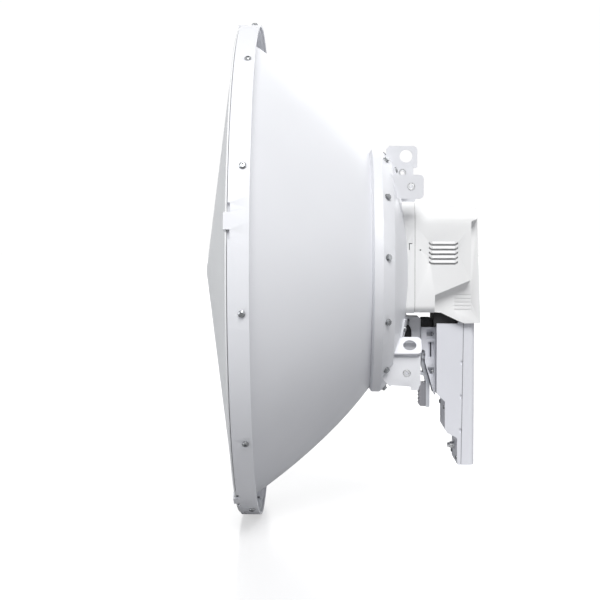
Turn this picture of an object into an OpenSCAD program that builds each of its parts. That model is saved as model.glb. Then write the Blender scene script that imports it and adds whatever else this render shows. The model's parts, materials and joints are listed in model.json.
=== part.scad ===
// Dish antenna with a radio hung behind it: an outdoor point-to-point wireless bridge.
// +Y points away from the far station, out of the back of the dish; +Z is up.
// The origin is on the dish axis, in the plane of the big lug holes.

/* [Dish] */
// Outer radius of the rim band
rim_r = 325; // [322:1:328]
// Width of the rim band along the axis
band_w = 24.5; // [22:0.5:26]
// Focal length of the paraboloid
focal = 107.3; // [106:0.1:109]
// Thickness of the spun aluminium skin
skin = 1.6; // [1.2:0.1:2]
// Number of screws round the rim band, and of bolts round the hub
screw_count = 12; // [6:1:18]

/* [Radome] */
// How far the point of the radome stands in front of its edge
radome_rise = 49; // [44:1:54]
// Wall of the radome
radome_wall = 2.2; // [1.6:0.1:2.6]

/* [Hub] */
// Outer radius of the hub ring
hub_r = 162.5; // [160:0.5:164]
// Height of the middle of the hub dome behind the lug plane
dome_y = 4.5; // [3:0.5:6]
// Curvature radius of the hub dome
dome_curve = 420; // [400:5:440]
// Sheet thickness of the lugs
lug_sheet = 2.8; // [2.4:0.1:3]
// Radius of the big holes, for a lifting shackle or a pole bracket bolt
lug_hole_r = 8.5; // [7:0.1:9]
// Bore of the weld nuts
nut_bore_r = 2.6; // [2.1:0.1:2.9]
// Distance of the bolting faces from the plane of symmetry
lug_x = 88; // [86:1:90]

/* [Housing] */
// Half the width of the housing
house_x = 60; // [58:1:62]
// Half the width of the sleeve that the radio slides into
sleeve_x = 47; // [46:1:49]
// Wall of the moulded cover
wall = 2.8; // [2:0.1:3]
// Number of louvres on each side of the cover
louvre_count = 5; // [3:1:5]

/* [Radio] */
// Half the width of the radio
radio_x = 41; // [39:0.5:41.5]
// Wall of the radio's shells
shell = 2.4; // [2:0.1:2.6]
// Angle that the latch stands at, as drawn
latch_angle = 0; // [0:1:6]

/* [Hidden] */
$fn = 96;
fine = 180;
eps = 0.05;

// Dish, worked out from the driving sizes
vertex_y = 8.5;
land_r = 80;
feed_hole_r = 30;
lip_r = 310;
fold_r = rim_r - 4.5;
fold_end_y = -194.5;
lip_y = back_y(lip_r);
band_front_y = lip_y - 0.6;
rim_screw_y = -199.9;
rim_screw_turn = 7.5;
tab_count = 5;
tab_turn = 79;
tab_w = 20;
tab_reach = 8.5;
notch_w = 11;
notch_deep = 2.6;
radome_y = lip_y - skin - 0.1;
radome_edge_r = rim_r - 2.8;

// Hub
chamfer = 15;
ring_rear_y = -20;
ring_bolt_turn = 23;
ring_bolt_r = 156.8;
ring_bolt_y = ring_rear_y + hub_r - chamfer - ring_bolt_r;
ring_wall = 3;
dome_wall = 3;
dome_r = hub_r - chamfer - 0.7;
transducer_r = 23;
dome_hole_r = 27;

// Lugs: where the holes are, as [y, z]
hoist_hole = [0.5, 153.7];
hoist_small_hole = [-4.2, 131.3];
upper_hole = [2.6, 109.1];
lower_hole = [-2.3, -130.5];
slant_hole_y = 1.6;
slant_sum = -10.5;
slant_low_x = 94;
slant_high_x = 74;
nut_r = 4.2;
nut_hole_r = 5;

// Pillar, rail and carriage
pillar_face_y = 19.8;
low_face_y = 16.1;
rail_top_z = -78.7;
rail_low_z = -90.7;
run = 0.4;
carriage_x = 24;
lips_low_z = -93.5;
radio_face_y = 39.5;

// Housing
seam_y = 9;
cover_y = 9.8;
house_top = 91;
house_low = -54;

// Latch
pivot = [24.4, -112];
pin_r = 1.5;
pin_run = 0.05;

// Cables inside the housing
jumper_x = 20;
jumper_y = 54;
jumper_top_z = -8;
jumper_low_z = -52;
coax_r = 2.5;
link_r = 1.8;
link_route = [
    [38, 28, 0], [42, 28, 0], [45, 28.6, 0.8], [47, 30, 3], [47.4, 32, 6],
    [46.4, 34, 9.5], [44, 36, 12.4], [41, 37.6, 13.8], [38.6, 39.4, 14], [38, 41.4, 14],
    [38, 44, 14]
];

white = [0.93, 0.94, 0.96];
warm_white = [0.92, 0.92, 0.91];
radio_white = [0.84, 0.85, 0.9];
steel = [0.7, 0.71, 0.73];
alloy = [0.8, 0.81, 0.83];
rubber = [0.08, 0.08, 0.09];
grey = [0.6, 0.61, 0.64];

function back_y(r) = vertex_y - r * r / (4 * focal);
function front_y(r) = back_y(r) - skin * sqrt(1 + pow(r / (2 * focal), 2));
function dome_at(r) = dome_y - r * r / (2 * dome_curve);
function mix(a, b, t) = a + (b - a) * t;
function unit(v) = v / norm(v);
function arc(c, r, a, b, n) = [for (i = [0:n]) c + r * [cos(mix(a, b, i / n)), sin(mix(a, b, i / n))]];

// Turns a shape about +Z into the same shape about +Y
module about_y() {
    rotate([-90, 0, 0]) children();
}

// Turns a profile of [radius, y] points round the dish axis
module turned(points) {
    about_y() rotate_extrude($fn = fine) polygon(points);
}

// A round bar along +Y, from y0 to y1
module bar_y(r, y0, y1, d = 0) {
    translate([0, y0, 0]) about_y() cylinder(r1 = r, r2 = r - d, h = y1 - y0);
}

// A side outline of [y, z] points, made solid between two planes of x
module side(points, x0, x1) {
    translate([x0, 0, 0]) rotate([90, 0, 90]) linear_extrude(x1 - x0) polygon(points);
}

// A front outline in x and z, made solid from y0 to y1
module along_y(y0, y1) {
    translate([0, y1, 0]) rotate([90, 0, 0]) linear_extrude(y1 - y0) children();
}

// A box given by its low and high corners
module block(low, high) {
    translate(low) cube(high - low);
}

// Both sides of the plane of symmetry
module both() {
    children();
    mirror([1, 0, 0]) children();
}

// Puts a shape on the dome at a turn from the top and a radius, standing square to it
module on_dome(turn, r) {
    rotate([0, turn, 0]) translate([0, dome_at(r), r]) rotate([asin(r / dome_curve), 0, 0]) children();
}

// A button-head screw whose head stands on the plane y = 0 and whose shank goes to -y
module button_screw(head_r, head_h, shank_r, shank) {
    difference() {
        union() {
            bar_y(head_r, 0, head_h * 0.45);
            bar_y(head_r, head_h * 0.45, head_h, head_r * 0.4);
            bar_y(shank_r, -shank, 0.1);
        }
        translate([0, head_h * 0.4, 0]) about_y() cylinder(r = head_r * 0.42, h = head_h, $fn = 6);
    }
}

// A hexagon bolt with a flanged head
module hex_bolt(head_r, head_h, shank_r, shank) {
    bar_y(head_r * 1.2, 0, head_h * 0.25);
    translate([0, head_h * 0.2, 0]) about_y() cylinder(r = head_r, h = head_h * 0.8, $fn = 6);
    bar_y(shank_r, -shank, 0.1);
}

// A ring of points round one station of a swept tube
function ring(p, t, r, n) =
    let (s = unit(cross(t, abs(t[2]) > 0.9 ? [1, 0, 0] : [0, 0, 1])), u = cross(s, t))
    [for (i = [0:n - 1]) p + r * (cos(360 * i / n) * s + sin(360 * i / n) * u)];

// A tube of radius r along a route of points
module tube(route, r, n = 10) {
    last = len(route) - 1;
    points = [for (i = [0:last])
        each ring(route[i], unit(route[min(i + 1, last)] - route[max(i - 1, 0)]), r, n)];
    walls = [for (i = [0:last - 1], j = [0:n - 1])
        [i * n + j, (i + 1) * n + j, (i + 1) * n + (j + 1) % n, i * n + (j + 1) % n]];
    ends = [[for (j = [0:n - 1]) j], [for (j = [n - 1:-1:0]) last * n + j]];
    polyhedron(points, concat(walls, ends));
}

// ---- Dish ----

// The spun paraboloid, with a flat land in its middle and a folded lip at its rim
module reflector() {
    radii = [for (i = [0:36]) mix(land_r, lip_r, i / 36)];
    back = [for (r = radii) [r, back_y(r)]];
    front = [for (i = [35:-1:0]) [radii[i], front_y(radii[i])]];
    lip = [
        [fold_r - skin, lip_y], [fold_r - skin, fold_end_y], [fold_r, fold_end_y],
        [fold_r, lip_y - skin], [lip_r - 0.7, lip_y - skin]
    ];
    land = [[feed_hole_r, back_y(land_r) - skin], [feed_hole_r, back_y(land_r)]];
    color(white) difference() {
        turned(concat(back, lip, front, land));
        rim_pattern() bar_y(2.1, -12, 4);
        feed_pattern() bar_y(2.1, -20, 20);
    }
}

// Repeats a shape at each rim screw, its +Y pointing out from the axis
module rim_pattern() {
    for (i = [0:screw_count - 1])
        rotate([0, rim_screw_turn + 360 * i / screw_count, 0])
            translate([0, rim_screw_y, rim_r]) rotate([90, 0, 0]) children();
}

// The powder-coated band that clamps the radome, with notched tabs over its edge
module rim_band() {
    color(white) difference() {
        union() {
            turned([
                [rim_r - 2.4, band_front_y + band_w], [rim_r, band_front_y + band_w],
                [rim_r, band_front_y], [rim_r - 2.4, band_front_y]
            ]);
            intersection() {
                turned([
                    [rim_r - 2.4, band_front_y + 4], [rim_r, band_front_y + 4],
                    [rim_r, tab_y() - 1.5], [rim_r - tab_reach, tab_y() - 1.5],
                    [rim_r - tab_reach, tab_y()], [rim_r - 2.4, tab_y()]
                ]);
                tab_pattern() block([-tab_w / 2, -240, 250], [tab_w / 2, -180, 400]);
            }
        }
        tab_pattern() both()
            block([tab_w / 2, band_front_y - 8, 300], [tab_w / 2 + notch_w, band_front_y + notch_deep, 400]);
        rim_pattern() bar_y(2.1, -12, 4);
    }
}

function tab_y() = radome_y - radome_wall - 0.1;

module tab_pattern() {
    for (i = [0:tab_count - 1])
        rotate([0, tab_turn + 360 * i / tab_count, 0]) children();
}

module rim_screws() {
    color(steel) rim_pattern() button_screw(4.2, 2.8, 2, 8);
}

// A shallow cone with a soft point
module radome() {
    knee_r = 110;
    knee_y = radome_y - radome_wall - 31.8;
    tip_y = radome_y - radome_rise - 1.5;
    outer = concat(
        [[radome_edge_r, radome_y], [radome_edge_r, radome_y - 1.4], [radome_edge_r - 0.8, radome_y - 2.2],
         [radome_edge_r - 6, radome_y - radome_wall], [knee_r, knee_y], [12, tip_y + 1.4]],
        [for (i = [1:6]) [12 * (1 - i / 6), tip_y + 1.4 * pow(1 - i / 6, 2)]]
    );
    inner = [
        [0, tip_y + radome_wall], [12, tip_y + 1.4 + radome_wall], [knee_r, knee_y + radome_wall],
        [radome_edge_r - 13, radome_y]
    ];
    color([0.88, 0.89, 0.9]) turned(concat(outer, inner));
}

// ---- Feed ----

land_back_y = back_y(land_r);
land_front_y = land_back_y - skin;
flange_h = 5;
waveguide_r = 10.5;
feed_end_y = -88;

module feed_pattern() {
    for (i = [0:5]) rotate([0, 30 + 60 * i, 0]) translate([0, 0, 37]) children();
}

module feed_flange() {
    color(alloy) difference() {
        union() {
            bar_y(46, land_front_y - flange_h, land_front_y - eps);
            bar_y(18, land_front_y - flange_h - 12, land_front_y - flange_h + 1);
        }
        bar_y(13.02, land_front_y - 40, land_front_y + 10);
        feed_pattern() bar_y(2.1, -40, 40);
    }
}

module feed_screws() {
    color(steel) feed_pattern() translate([0, land_front_y - flange_h, 0])
        rotate([180, 0, 0]) button_screw(4, 3, 2, 10);
}

module feed_tube() {
    color(alloy) difference() {
        bar_y(13, feed_end_y, land_front_y - eps);
        bar_y(waveguide_r, feed_end_y - 1, land_front_y + 1);
    }
}

// The plastic plug in the mouth of the waveguide, which widens to carry the splash plate
module dielectric_cone() {
    color([0.95, 0.94, 0.9]) turned([
        [0, feed_end_y + 22], [5, feed_end_y + 12], [waveguide_r - eps, feed_end_y + 6],
        [waveguide_r - eps, feed_end_y - 0.1], [14, feed_end_y - 0.1], [30, feed_end_y - 18],
        [12, feed_end_y - 18], [0, feed_end_y - 8]
    ]);
}

module sub_reflector() {
    y = feed_end_y - 18 - eps;
    color(alloy) turned([
        [0, feed_end_y - 8 - eps], [12, y], [32, y], [32, y - 3], [27, y - 3], [27, y - 1.5], [23, y - 1.5],
        [23, y - 3], [18, y - 3], [12, y - 5], [0, y - 5]
    ]);
}

// The cast body that parts the two polarisations, behind the land
module feed_transducer() {
    color(alloy) difference() {
        union() {
            bar_y(45, land_back_y + eps, land_back_y + 4);
            bar_y(transducer_r, land_back_y + 3, 38);
            translate([0, 28, 0]) rotate([0, 90, 0]) cylinder(r = 12, h = 52, center = true);
        }
        bar_y(waveguide_r, land_back_y - 1, 32);
        feed_pattern() bar_y(2.1, -40, 40);
    }
}

module feed_ports() {
    color([0.75, 0.7, 0.55]) both() translate([26 + eps, 28, 0]) rotate([0, 90, 0]) difference() {
        union() {
            cylinder(r = 8, h = 3);
            cylinder(r = 5.5, h = 12 - eps);
        }
        translate([0, 0, 6]) cylinder(r = link_r + 0.3, h = 10);
    }
}

// ---- Hub ----

function hub_outline(d) = concat(
    [[0, -60], [157, -60], [157, -48], [hub_r, -46], [hub_r, ring_rear_y - chamfer + d],
     [hub_r - chamfer, ring_rear_y + d], [dome_r, ring_rear_y + d]],
    [for (i = [0:14]) let (r = mix(dome_r, 0, i / 14)) [r, dome_at(r) + d]]
);

// Everything inside the hub's outer surface, grown towards +y by d
module hub_solid(d) {
    turned(hub_outline(d));
}

// A skin that lies on the hub, from its surface to a height h
module hub_layer(h) {
    difference() {
        hub_solid(h);
        hub_solid(eps);
    }
}

module ring_pattern() {
    for (i = [0:screw_count - 1])
        rotate([0, ring_bolt_turn + 360 * i / screw_count, 0])
            translate([0, ring_bolt_y, ring_bolt_r]) rotate([45, 0, 0]) children();
}

module hub_ring() {
    inner_r = hub_r - ring_wall;
    color(white) difference() {
        turned([
            [155, back_y(155) + 0.3], [157.5, back_y(157.5) + 0.3], [hub_r, -46],
            [hub_r, ring_rear_y - chamfer], [hub_r - chamfer, ring_rear_y], [dome_r, ring_rear_y],
            [dome_r, dome_at(dome_r) - dome_wall - eps], [dome_r - 9, dome_at(dome_r) - dome_wall - eps],
            [dome_r - 9, -28], [dome_r - 2, -28], [inner_r, -37], [inner_r, -45], [155, -45]
        ]);
        ring_pattern() bar_y(2.55, -12, 4);
    }
}

module ring_bolts() {
    color(steel) ring_pattern() translate([0, eps, 0]) hex_bolt(3.7, 3.6, 2.5, 12);
}

module hub_dome() {
    n = 20;
    top = [for (i = [0:n]) let (r = mix(dome_hole_r, dome_r - 0.1, i / n)) [r, dome_at(r)]];
    low = [for (i = [n:-1:0]) let (r = mix(dome_hole_r, dome_r - 0.1, i / n)) [r, dome_at(r) - dome_wall]];
    color(white) difference() {
        turned(concat(top, low));
        foot_screws() bar_y(2.2, -12, 6);
        pillar_pattern() bar_y(2.2, -12, 6);
        base_pattern() bar_y(1.7, -12, 6);
    }
}

// ---- Lugs ----

// The screws that hold the lugs' feet, on the dome
module foot_screws() {
    on_dome(6, 134) children();
    both() {
        on_dome(34, 134) children();
        on_dome(149.5, 137) children();
        on_dome(138.5, 99) children();
    }
}

// A foot that lies on the hub inside a box of x and z
module foot(x0, z0, x1, z1) {
    difference() {
        intersection() {
            hub_layer(lug_sheet);
            block([x0, -60, z0], [x1, 40, z1]);
        }
        foot_screws() bar_y(2.2, -12, 6);
    }
}

// A plate outline of [y, z] with two round outer corners
function tongue(y1, z0, z1, r) = concat(
    [[-50, z0]], arc([y1 - r, z0 + r], r, -90, 0, 6), arc([y1 - r, z1 - r], r, 0, 90, 6), [[-50, z1]]
);

module hole_x(hole, r) {
    translate([0, hole[0], hole[1]]) rotate([0, 90, 0]) cylinder(r = r, h = 400, center = true);
}

// The single plate at the top, with the eye that the dish is lifted by
module hoist_lug() {
    outline = concat(
        [[-26.2, 118], [10.6, 118], [10.6, 137.9], [13, 137.9]],
        arc([15.7 - 2.5, 137.9 + 2.5], 2.5, -80, 0, 4), arc([15.7 - 6, 167.4 - 6], 6, 0, 90, 6),
        [[-22, 167.4], [-26.2, 163]]
    );
    color(white) {
        difference() {
            side(outline, -lug_sheet / 2, lug_sheet / 2);
            hub_solid(eps);
            hole_x(hoist_hole, lug_hole_r);
            hole_x(hoist_small_hole, nut_hole_r);
        }
        foot(lug_sheet / 2 - 0.5, 124, 24, 143);
    }
}

module upper_lug() {
    difference() {
        side(tongue(18.7, 93.6, 124.6, 6), lug_x - lug_sheet, lug_x);
        hub_solid(eps);
        hole_x(upper_hole, nut_hole_r);
    }
    foot(62, 100, lug_x - lug_sheet + 0.5, 120);
}

module upper_lug_right() {
    color(white) upper_lug();
}

module upper_lug_left() {
    color(white) mirror([1, 0, 0]) upper_lug();
}

// An upright plate whose top edge is bent inwards at 45 degrees
module lower_lug() {
    bend_z = -112;
    flange = 9;
    outline = [
        [-44, -132], [-39.5, -132], [-24, -147.7], [-22, -146], [2.5, -147.7], [3.5, -152.5], [12.5, -152.5],
        [13.7, -147.7], [15.4, -145], [15.4, bend_z], [-44, bend_z]
    ];
    difference() {
        union() {
            side(outline, lug_x - lug_sheet, lug_x);
            along_y(-44, 15.4) polygon(bent_strip(lug_x, bend_z, flange, lug_sheet, 6));
        }
        hub_solid(eps);
        hole_x(lower_hole, nut_hole_r);
    }
    foot(60, -128, lug_x - lug_sheet + 0.5, -116);
}

// The section of a sheet that turns from upright to 45 degrees, seen along y
function bent_strip(x, z, reach, t, r) = concat(
    arc([x - r, z], r, 0, 45, 6),
    [[x - r, z] + r * [cos(45), sin(45)] + reach * [-sin(45), cos(45)]],
    [[x - r, z] + (r - t) * [cos(45), sin(45)] + reach * [-sin(45), cos(45)]],
    arc([x - r, z], r - t, 45, 0, 6)
);

module lower_lug_right() {
    color(white) lower_lug();
}

module lower_lug_left() {
    color(white) mirror([1, 0, 0]) lower_lug();
}

// Places a shape drawn in the slanted plate's own plane: x along the dish axis, y up the slope
module on_slant() {
    x = (slant_low_x + slant_high_x) / 2;
    translate([x, slant_hole_y, slant_sum - x]) rotate([0, 45, 0]) rotate([0, 0, 90]) children();
}

// The slanted plate with a big hole, and the foot it stands on
module lug_plate() {
    half = (slant_low_x - slant_high_x) / sqrt(2);
    difference() {
        on_slant() translate([0, 0, -lug_sheet]) linear_extrude(lug_sheet) difference() {
            polygon(concat(
                [[-45, -half], [-45, half]],
                arc([15.2 - 6, half - 6], 6, 90, 0, 6), arc([15.2 - 6, -half + 6], 6, 0, -90, 6)
            ));
            circle(r = lug_hole_r);
        }
        hub_solid(eps);
    }
    foot(54, slant_sum - slant_high_x - 0.5, slant_high_x + 1, -62);
}

module lug_plate_right() {
    color(white) lug_plate();
}

module lug_plate_left() {
    color(white) mirror([1, 0, 0]) lug_plate();
}

// One weld nut, its shoulder behind the sheet and its collar in the sheet's hole, facing +x
module weld_nut(x, hole) {
    translate([x, hole[0], hole[1]]) rotate([0, 90, 0]) difference() {
        union() {
            translate([0, 0, -lug_sheet - 5]) cylinder(r = 7.5, h = 5 - eps, $fn = 6);
            translate([0, 0, -lug_sheet - 4]) cylinder(r = nut_r, h = lug_sheet + 3.6);
        }
        translate([0, 0, -20]) cylinder(r = nut_bore_r, h = 40);
    }
}

module lug_nuts() {
    color(steel) {
        weld_nut(lug_sheet / 2, hoist_small_hole);
        both() {
            weld_nut(lug_x, upper_hole);
            weld_nut(lug_x, lower_hole);
        }
    }
}

module lug_screws() {
    color(steel) foot_screws() translate([0, lug_sheet + 0.15, 0]) button_screw(4.2, 2.6, 2.1, 8);
}

// ---- Pillar that carries the radio ----

module pillar_pattern() {
    both() {
        on_dome(158, 72) children();
        on_dome(167.5, 132) children();
    }
}

// A cast bracket with a T rail on its rear face
module mount_pillar() {
    color([0.82, 0.83, 0.86]) difference() {
        union() {
            side([[-40, -61], [pillar_face_y - 3, -61], [pillar_face_y, -64], [pillar_face_y, -127],
                [low_face_y, -129], [low_face_y, -147], [low_face_y - 3, -150], [-40, -150]], -20, 20);
            block([-6, pillar_face_y - 1, rail_low_z], [6, 24, rail_top_z]);
            block([-11, 23.4, rail_low_z], [11, 27, rail_top_z]);
            intersection() {
                hub_layer(3);
                block([-36, -60, -140], [36, 40, -60]);
            }
        }
        hub_solid(eps);
        side(arch(), -30, 30);
        block([-7, low_face_y, -143], [7, pillar_face_y + 0.1, rail_low_z - 1]);
        both() block([14, -5, -140], [21, pillar_face_y - 4, -96]);
        pillar_pattern() bar_y(2.2, -12, 30);
    }
}

// The arched window through the pillar, beside the dome
function arch() = concat([[-12, -88.5], [7.5, -88.5]], arc([-8, -82], 15.5, 0, 75, 8), [[-12, -66.5]]);

module pillar_grommet() {
    color(rubber) difference() {
        intersection() {
            side(arch(), -17, 17);
            side([[-12, -88.4], [7.3, -88.4], [7.3, -66.7], [-12, -66.7]], -17, 17);
        }
        hub_solid(3.2);
        side(arch(), 17.5, 18);
        block([-6, -20, -84], [6, 4, -60]);
    }
}

module pillar_screws() {
    color(steel) pillar_pattern() translate([0, 3.25, 0]) button_screw(4.2, 2.6, 2.1, 7);
}

// ---- Housing behind the dome ----

// The front outline of the housing, taken in by d
module house_outline(half, top, low, top_r, low_r, d) {
    big = max(top_r - d, 0.5);
    small = max(low_r - d, 0.5);
    x_big = half - d - big;
    x_small = half - d - small;
    z_big = top - d - big;
    z_small = low + d + small;
    polygon(concat(
        arc([x_small, z_small], small, -90, 0, 8), arc([x_big, z_big], big, 0, 90, 16),
        arc([-x_big, z_big], big, 90, 180, 16), arc([-x_small, z_small], small, 180, 270, 8)
    ));
}

module wide_outline(d) {
    house_outline(house_x, house_top, house_low, 30, 10, d);
}

module base_pattern() {
    both() {
        on_dome(60, 58) children();
        on_dome(125, 58) children();
    }
}

// The collar on the dome that the cover closes against
module housing_base() {
    color([0.88, 0.88, 0.9]) difference() {
        union() {
            difference() {
                along_y(-40, seam_y) wide_outline(-0.6);
                along_y(-41, seam_y + 1) wide_outline(wall);
            }
            difference() {
                along_y(-12, seam_y + 5) wide_outline(wall + 0.3);
                along_y(-41, seam_y + 6) wide_outline(wall + 2.2);
                top_slope(wall + 0.4);
            }
            difference() {
                intersection() {
                    hub_layer(3);
                    along_y(-40, 20) wide_outline(1);
                }
                along_y(-41, 21) wide_outline(18);
            }
        }
        hub_solid(eps);
        both() align_mark();
        base_pattern() bar_y(1.8, -12, 12);
    }
}

// The engraved corner mark beside the seam
module align_mark() {
    x = house_x + 0.6;
    block([x - 0.5, 1.4, 28], [x + 1, 2.6, 37]);
    block([x - 0.5, 1.4, 35.8], [x + 1, 6, 37]);
}

module base_screws() {
    color(steel) base_pattern() translate([0, 3.2, 0]) button_screw(3.4, 2.2, 1.6, 9);
}

module housing_seal() {
    color(rubber) along_y(seam_y + eps, cover_y - eps) difference() {
        wide_outline(0.8);
        wide_outline(2.6);
    }
}

// Side outline of the wide part of the cover, with its walls taken in by d
function wide_side(d) = concat(
    [[cover_y - (d > 0 ? 2 : 0), house_top + 5 - d], [60, house_top + 5 - d]],
    arc([83.4, 76.5], 7.8 - d, 85, -2, 8),
    [[91.3 - d, 69 + d * 0.6], [82.3 - d, 65 + d * 0.6], [82.3 - d, -11 + d * 0.8],
     [35.7 - d * 0.4, -30.5 + d], [35.2 - d * 0.4, house_low - 5 + d], [cover_y - (d > 0 ? 2 : 0), house_low - 5 + d]]
);

// Side outline of the sleeve
function sleeve_side(d) = concat(
    [[35.2 - d, 70]],
    arc([83.4, 76.5], 7.8 - d, 85, -2, 8),
    [[96.4 - d, -67.6 - d * 2], [75.5, -68.5 - d * 2], [64.8, -64 - d * 2.4], [44.5, -54.3 - d * 2.4],
     [35.2 - d, -53.6 - d * 2.4]]
);

// The top of the cover slopes down to the rear
module top_slope(d) {
    side([[-10, 91.8 - d], [100, 81.6 - d], [100, 140], [-10, 140]], -80, 80);
}

module cover_body(d) {
    difference() {
        union() {
            intersection() {
                side(wide_side(d), -house_x, house_x);
                along_y(-5, 130) wide_outline(d);
            }
            intersection() {
                side(sleeve_side(d), -sleeve_x + d, sleeve_x - d);
                along_y(0, 130) house_outline(sleeve_x, house_top, -110, 24, 4, d);
            }
        }
        top_slope(d);
    }
}

// A louvre: a long slot whose ends turn up
module louvre(z) {
    y0 = 27.6;
    y1 = 65.2;
    side([[y0, z + 3.4], [y0, z + 1], [y0 + 3.4, z - 1.3], [y1 - 3.4, z - 1.3], [y1, z + 1],
        [y1, z + 3.4], [y1 - 3.6, z + 0.9], [y0 + 3.6, z + 0.9]], house_x - wall - 1, house_x + 1);
}

module housing_cover() {
    color(warm_white) difference() {
        cover_body(0);
        cover_body(wall);
        // The underside is open between the sleeve's walls, so that the cover can pass the radio
        block([wall - sleeve_x, 0, house_low - 8], [sleeve_x - wall, 36, house_low + 8]);
        both() {
            for (i = [0:louvre_count - 1]) louvre(35 - 6.15 * i);
            translate([house_x - 0.6, 16.5, 28]) rotate([0, 90, 0]) cylinder(r = 1.1, h = 3);
            for (i = [0:4])
                block([sleeve_x - 0.8, 62, -31.2 - 4.85 * i], [sleeve_x + 1, 83.5, -30.3 - 4.85 * i]);
        }
    }
}

// ---- Duplexers and cables in the housing ----

module duplexer() {
    difference() {
        union() {
            block([6, 44, 6], [50, 71, 74]);
            block([4, 44, 10], [52, 47, 70]);
            for (i = [0:4], j = [0:2])
                translate([14 + 14 * j, 71, 16 + 12 * i]) bar_y(2.4, 0, 2.5);
        }
        translate([38, 0, 14]) bar_y(3.2, 43, 50);
        bracket_pattern() bar_y(1.7, -20, 30);
    }
    translate([jumper_x, jumper_y, -1]) cylinder(r = 3.2, h = 8);
    translate([jumper_x, jumper_y, 3.5]) cylinder(r = 6.5, h = 3, $fn = 6);
}

module duplexer_right() {
    color(alloy) duplexer();
}

module duplexer_left() {
    color(alloy) mirror([1, 0, 0]) duplexer();
}

module bracket_pattern() {
    translate([28, 47, 66]) children();
    translate([10, 47, 14]) children();
}

// A plate on four posts that stand on the dome
module duplexer_bracket() {
    color(steel) difference() {
        union() {
            block([-52, 41.4, -18], [52, 43.9, 74]);
            both() {
                translate([48, -20, -12]) bar_y(5, 0, 62);
                translate([45, -20, 66]) bar_y(5, 0, 62);
            }
        }
        hub_solid(3.1);
        both() {
            translate([38, 0, 14]) bar_y(6, 40, 46);
            block([8, 40, -16], [34, 46, 4]);
            translate([28, 47, 66]) bar_y(1.7, -20, 30);
            translate([10, 47, 14]) bar_y(1.7, -20, 30);
        }
    }
}

module bracket_screws() {
    color(steel) both() bracket_pattern() translate([0, -5.7, 0])
        rotate([180, 0, 0]) button_screw(3.2, 2, 1.6, 7);
}

module plug(low, high) {
    translate([0, 0, low]) difference() {
        union() {
            cylinder(r = 4.6, h = high - low, $fn = 6);
            cylinder(r = 4.4, h = high - low);
        }
        translate([0, 0, -1]) cylinder(r = 3.25, h = high - low - 2);
    }
}

module duplexer_plugs() {
    color([0.75, 0.7, 0.55]) both() translate([jumper_x, jumper_y, 0]) mirror([0, 0, 1]) plug(-2.8, 8);
}

module feed_links() {
    color([0.72, 0.55, 0.4]) both() tube([for (p = link_route) p], link_r);
}

module coax_jumpers() {
    gap = 0.3;
    height = jumper_top_z - jumper_low_z - 2 * gap;
    color(rubber) both() tube([for (i = [0:12]) let (t = i / 12)
        [jumper_x + 5 * pow(sin(180 * t), 2), jumper_y, jumper_low_z + gap + height * t]], coax_r);
}

// ---- Radio ----

// Side outlines of the radio's two shells and of what they hold
seam_slant = [[71.7, -256.2], [74.9, -26]];
front_outline = [
    [radio_face_y, -69], [39.7, -161.4], [44.5, -166.8], [50.6, -172.1], [50.7, -208.7],
    [54, -214.2], [64.9, -219.4], [66.9, -221.6], [67, -255], [68.2, -256.2], seam_slant[0],
    seam_slant[1], [69.5, -26], [68, -28], [68, -67], [66.5, -69]
];
front_cavity = [
    [41.9, -71.4], [42.1, -160.4], [45.9, -164.8], [53, -171], [53.1, -208], [55.4, -212.3],
    [66, -217.4], [69.3, -220.6], [69.4, -253.8], [80, -253.8], [80, -28.4], [70.4, -28.4],
    [70.4, -69.4], [68.5, -71.4]
];
rear_outline = [[72.6, -256.2], [88, -256.2], [89.3, -254.8], [89.7, -28], [88, -26], [75.8, -26]];
rear_cavity = [[60, -253.8], [86.6, -253.8], [87.1, -28.4], [60, -28.4]];

// What stands inside the radio's plan outline, with round rear corners
module radio_plan(d) {
    r = 9;
    translate([0, 0, -300]) linear_extrude(320) polygon(concat(
        [[-radio_x + d, 20], [radio_x - d, 20]],
        arc([radio_x - r, 89.7 - r], r - d, 0, 90, 10), arc([r - radio_x, 89.7 - r], r - d, 90, 180, 10)
    ));
}

// The screws that close the case, from its front face into bosses in the rear shell
case_screw_at = [[34.2, 50.6, -180], [34.2, 67, -247]];
case_screw_end_y = 84;

module case_pattern() {
    both() for (at = case_screw_at) translate(at) children();
}

module jack_window() {
    both() block([3, 57.4, -226], [15.6, 66.4, -211]);
}

module radio_front_shell() {
    color(radio_white) difference() {
        union() {
            difference() {
                intersection() {
                    side(front_outline, -radio_x, radio_x);
                    radio_plan(0);
                }
                side(front_cavity, -radio_x + shell, radio_x - shell);
            }
            intersection() {
                case_pattern() bar_y(4, 0.5, 22);
                side(front_outline, -radio_x + 1, radio_x - 1);
            }
        }
        jack_window();
        case_pattern() bar_y(1.8, -2, 40);
        for (x = [-jumper_x, 0, jumper_x])
            translate([x, jumper_y, -75]) cylinder(r = 3.3, h = 20);
        translate([-25, 60, -230]) cylinder(r = 1.9, h = 30);
        translate([0, 60, -235]) bar_y(2.1, 0, 12);
        both() for (i = [0:2])
            block([radio_x - 1.4, 71.2 - 0.63 * i, -123.5 - 45 * i], [radio_x + 1, 76, -118 - 45 * i]);
        carriage_screw_pattern() bar_y(1.6, -4, 12);
    }
}

module radio_rear_shell() {
    color(radio_white) difference() {
        union() {
            difference() {
                intersection() {
                    side(rear_outline, -radio_x, radio_x);
                    radio_plan(0);
                }
                intersection() {
                    side(rear_cavity, -radio_x + shell, radio_x - shell);
                    radio_plan(shell);
                }
            }
            intersection() {
                case_pattern() bar_y(4, 18, 38);
                block([-radio_x + 1, 76, -255], [radio_x - 1, 87.5, -27]);
            }
        }
        for (at = case_screw_at) both() translate([at[0], 0, at[2]]) bar_y(1.6, 60, case_screw_end_y + 0.5);
    }
}

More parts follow.
